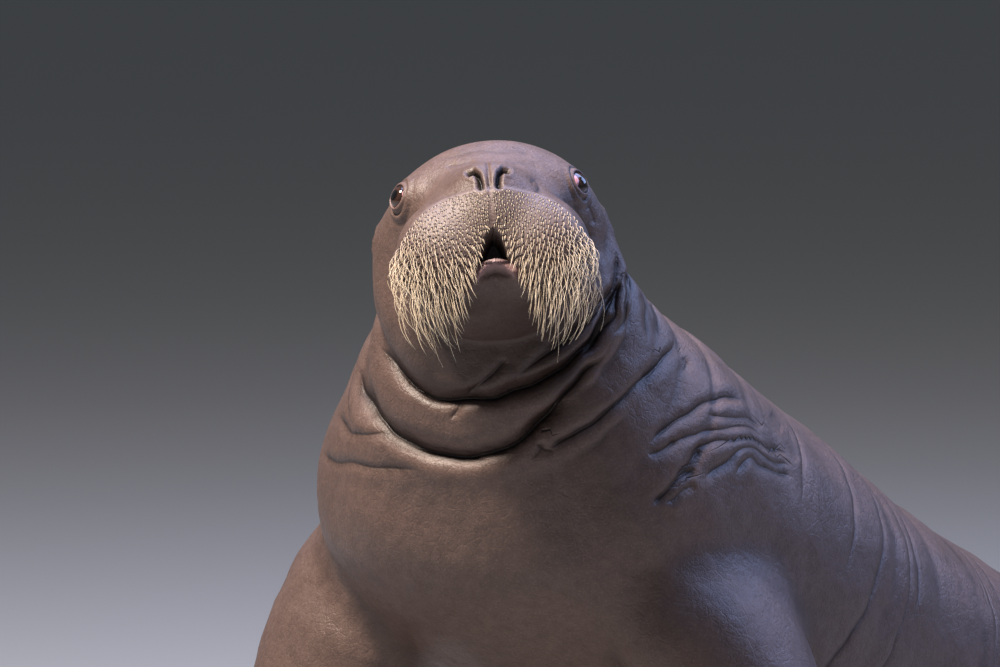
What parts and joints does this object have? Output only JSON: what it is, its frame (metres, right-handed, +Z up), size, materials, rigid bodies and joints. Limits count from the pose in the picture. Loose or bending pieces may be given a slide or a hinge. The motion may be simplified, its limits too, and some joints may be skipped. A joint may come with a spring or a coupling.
{
  "type": "young walrus display model",
  "caption": "Life-size still display model of a young walrus propped on its fore flippers, head raised, mouth slightly open, bristled muzzle.",
  "frame": {"origin": "on the floor under the middle of the model's box", "axes": "+Z up, the face looks along -Y, and the trunk runs back and to the animal's left, towards +X and +Y"},
  "size_m": [1.5626, 1.4064, 1.0056],
  "materials": {
    "hide": "wet, leathery, finely wrinkled skin with very short hair",
    "muzzle": "mauve grey skin set with rows of straw-coloured bristles",
    "eye": "dark, wet and glossy",
    "nail": "dull horn"
  },
  "bodies": {
    "root": {"chest": "hide", "ear_left": "hide", "ear_right": "hide", "eye_left": "eye", "eye_right": "eye", "fore_flipper_left": "hide", "fore_flipper_right": "hide", "fore_nail_left_1": "nail", "fore_nail_left_2": "nail", "fore_nail_left_3": "nail", "fore_nail_left_4": "nail", "fore_nail_left_5": "nail", "fore_nail_right_1": "nail", "fore_nail_right_2": "nail", "fore_nail_right_3": "nail", "fore_nail_right_4": "nail", "fore_nail_right_5": "nail", "forearm_left": "hide", "forearm_right": "hide", "head": "hide", "hind_flipper_left": "hide", "hind_flipper_right": "hide", "hind_leg_left": "hide", "hind_leg_right": "hide", "hind_nail_left_1": "nail", "hind_nail_left_2": "nail", "hind_nail_left_3": "nail", "hind_nail_left_4": "nail", "hind_nail_left_5": "nail", "hind_nail_right_1": "nail", "hind_nail_right_2": "nail", "hind_nail_right_3": "nail", "hind_nail_right_4": "nail", "hind_nail_right_5": "nail", "hips": "hide", "lower_jaw": "muzzle", "neck": "hide", "nose": "muzzle", "tail": "hide", "torso": "hide", "upper_arm_left": "hide", "upper_arm_right": "hide", "whisker_pad_left": "muzzle", "whisker_pad_right": "muzzle"}
  },
  "joints": []
}
